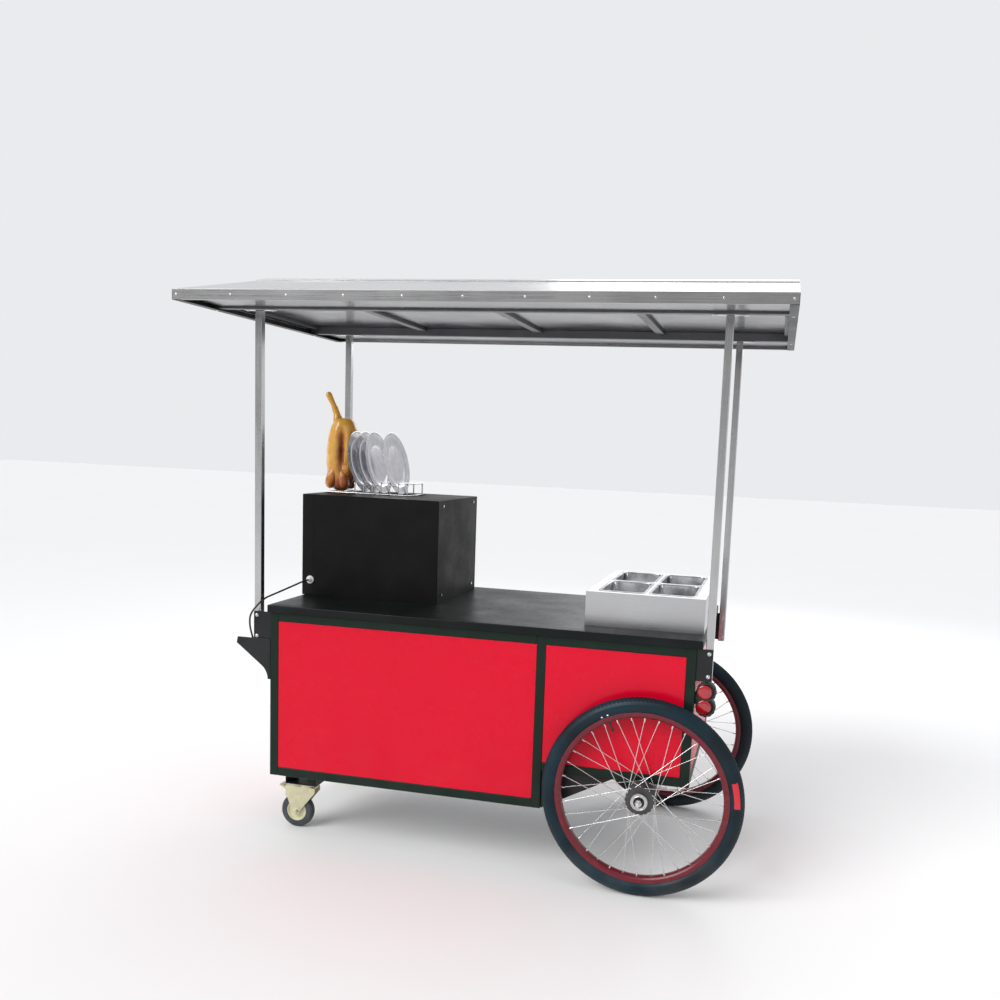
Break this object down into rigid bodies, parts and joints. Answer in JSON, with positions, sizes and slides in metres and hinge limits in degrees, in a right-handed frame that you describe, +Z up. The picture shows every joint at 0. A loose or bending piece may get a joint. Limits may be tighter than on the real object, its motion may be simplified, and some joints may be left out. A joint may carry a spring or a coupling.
{
  "type": "push vending cart",
  "caption": "Push-along food cart: steel cabinet on spoked wheels and casters, with a post-mounted roof, food warmer, plate rack and bain-marie with lift-out pans.",
  "frame": {"origin": "on the ground, under the middle of the roof", "axes": "+X from the push handle towards the big wheels, -Y the customer side, +Z up"},
  "size_m": [1.96, 1.1716, 2.026],
  "materials": {
    "frame_paint": "dark green-black gloss enamel",
    "black_steel": "black enamel, semi-gloss",
    "red_panel": "high-gloss red sheet",
    "sheet_steel": "plain galvanised sheet",
    "worktop_steel": "dark glossy coated sheet",
    "plywood": "bare plywood",
    "bright_steel": "zinc-plated steel",
    "post_steel": "brushed square tube",
    "roof_steel": "grey painted tube",
    "roof_sheet": "light grey coated sheet",
    "black_plastic": "black moulding",
    "red_lens": "red transparent plastic",
    "warmer_paint": "dark textured coating",
    "dark_glass": "tinted toughened glass",
    "white_plastic": "white moulding",
    "cord_jacket": "black flexible jacket",
    "plate_steel": "polished stainless",
    "roast_skin": "glossy golden-brown food model",
    "bain_steel": "bright brushed stainless sheet",
    "pan_steel": "pressed stainless",
    "tyre_rubber": "black moulded tyre",
    "rim_paint": "dark maroon enamel",
    "spoke_steel": "bright wire",
    "hub_steel": "machined steel",
    "caster_cream": "cream moulded nylon",
    "caster_zinc": "yellow-passivated zinc plating",
    "caster_rubber": "dark moulded rubber"
  },
  "bodies": {
    "cart": {"frame_stiles": "frame_paint", "frame_rails": "frame_paint", "bracket_plates": "black_steel", "handle_brackets": "black_steel", "cabinet_panels": "red_panel", "floor_sheets": "sheet_steel", "worktop_skin": "worktop_steel", "worktop_board": "plywood", "hinge_halves": "bright_steel", "fasteners": "bright_steel", "roof_posts": "post_steel", "roof_frame": "roof_steel", "roof_ceiling": "roof_sheet", "fascias": "roof_sheet", "roof_sheets": "roof_sheet", "end_trims": "black_steel", "push_bar": "post_steel", "axle_beam": "black_steel", "stub_axles": "bright_steel", "caster_mounts": "black_steel", "caster_plates": "bright_steel", "lamp_housing": "black_plastic", "lamp_lenses": "red_lens", "warmer_shell": "warmer_paint", "warmer_covers": "warmer_paint", "cord_grommets": "white_plastic", "warmer_cord": "cord_jacket", "bain_marie_casing": "bain_steel"},
    "wheel_front": {"tyre_front": "tyre_rubber", "rim_front": "rim_paint", "spokes_front": "spoke_steel", "hub_front": "hub_steel"},
    "caster_front_fork": {"caster_fork_front": "caster_zinc"},
    "caster_front_wheel": {"caster_core_front": "caster_cream", "caster_tread_front": "caster_rubber"},
    "caster_front_brake": {"caster_brake_front": "caster_zinc"},
    "wheel_rear": {"tyre_rear": "tyre_rubber", "rim_rear": "rim_paint", "spokes_rear": "spoke_steel", "hub_rear": "hub_steel"},
    "caster_rear_fork": {"caster_fork_rear": "caster_zinc"},
    "caster_rear_wheel": {"caster_core_rear": "caster_cream", "caster_tread_rear": "caster_rubber"},
    "caster_rear_brake": {"caster_brake_rear": "caster_zinc"},
    "door_left": {"door_left": "red_panel", "door_left_fittings": "bright_steel"},
    "door_right": {"door_right": "red_panel", "door_right_fittings": "bright_steel"},
    "warmer_door": {"warmer_door": "warmer_paint", "warmer_window": "dark_glass", "warmer_door_handle": "bright_steel"},
    "warmer_knob": {"warmer_knob": "black_plastic"},
    "bain_knob": {"bain_marie_knob": "black_plastic"},
    "pan_1": {"food_pan_1": "pan_steel"},
    "pan_2": {"food_pan_2": "pan_steel"},
    "pan_3": {"food_pan_3": "pan_steel"},
    "pan_4": {"food_pan_4": "pan_steel"},
    "rack": {"plate_rack": "bright_steel"},
    "plates": {"plates": "plate_steel"},
    "duck": {"display_duck": "roast_skin"}
  },
  "joints": [
    {"name": "wheel_front_spin", "type": "hinge", "parent": "cart", "child": "wheel_front", "pos_m": [0.592, -0.4115, 0.33], "axis": [0, 1, 0], "continuous": true},
    {"name": "caster_front_swivel", "type": "hinge", "parent": "cart", "child": "caster_front_fork", "pos_m": [-0.669, -0.246, 0.165], "axis": [0, 0, 1], "continuous": true},
    {"name": "caster_front_roll", "type": "hinge", "parent": "caster_front_fork", "child": "caster_front_wheel", "pos_m": [-0.704, -0.246, 0.0625], "axis": [0, 1, 0], "continuous": true},
    {"name": "caster_front_brake_press", "type": "hinge", "parent": "caster_front_fork", "child": "caster_front_brake", "pos_m": [-0.738, -0.246, 0.142], "axis": [0, -1, 0], "range_deg": [0, 7]},
    {"name": "wheel_rear_spin", "type": "hinge", "parent": "cart", "child": "wheel_rear", "pos_m": [0.592, 0.4115, 0.33], "axis": [0, 1, 0], "continuous": true},
    {"name": "caster_rear_swivel", "type": "hinge", "parent": "cart", "child": "caster_rear_fork", "pos_m": [-0.669, 0.246, 0.165], "axis": [0, 0, 1], "continuous": true},
    {"name": "caster_rear_roll", "type": "hinge", "parent": "caster_rear_fork", "child": "caster_rear_wheel", "pos_m": [-0.704, 0.246, 0.0625], "axis": [0, 1, 0], "continuous": true},
    {"name": "caster_rear_brake_press", "type": "hinge", "parent": "caster_rear_fork", "child": "caster_rear_brake", "pos_m": [-0.738, 0.246, 0.142], "axis": [0, -1, 0], "range_deg": [0, 7]},
    {"name": "door_left_hinge", "type": "hinge", "parent": "cart", "child": "door_left", "pos_m": [-0.719, 0.375, 0.53], "axis": [0, 0, 1], "range_deg": [0, 105]},
    {"name": "door_right_hinge", "type": "hinge", "parent": "cart", "child": "door_right", "pos_m": [0.215, 0.375, 0.53], "axis": [0, 0, -1], "range_deg": [0, 105]},
    {"name": "warmer_door_hinge", "type": "hinge", "parent": "cart", "child": "warmer_door", "pos_m": [-0.5445, 0.336, 0.861], "axis": [-1, 0, 0], "range_deg": [0, 90]},
    {"name": "warmer_knob_turn", "type": "hinge", "parent": "cart", "child": "warmer_knob", "pos_m": [-0.28, 0.337, 1.12], "axis": [0, 1, 0], "range_deg": [0, 270]},
    {"name": "bain_knob_turn", "type": "hinge", "parent": "cart", "child": "bain_knob", "pos_m": [0.552, 0.34, 0.908], "axis": [0, 1, 0], "range_deg": [0, 270]},
    {"name": "pan_1_lift", "type": "slide", "parent": "cart", "child": "pan_1", "axis": [0, 0, 1], "range_m": [0, 0.15]},
    {"name": "pan_2_lift", "type": "slide", "parent": "cart", "child": "pan_2", "axis": [0, 0, 1], "range_m": [0, 0.15]},
    {"name": "pan_3_lift", "type": "slide", "parent": "cart", "child": "pan_3", "axis": [0, 0, 1], "range_m": [0, 0.15]},
    {"name": "pan_4_lift", "type": "slide", "parent": "cart", "child": "pan_4", "axis": [0, 0, 1], "range_m": [0, 0.15]},
    {"name": "rack_lift", "type": "slide", "parent": "cart", "child": "rack", "axis": [0, 0, 1], "range_m": [0, 0.08]},
    {"name": "plates_lift", "type": "slide", "parent": "rack", "child": "plates", "axis": [0, 0, 1], "range_m": [0, 0.25]},
    {"name": "duck_lift", "type": "slide", "parent": "rack", "child": "duck", "axis": [-0.3159, 0, 0.9488], "range_m": [0, 0.15]}
  ]
}
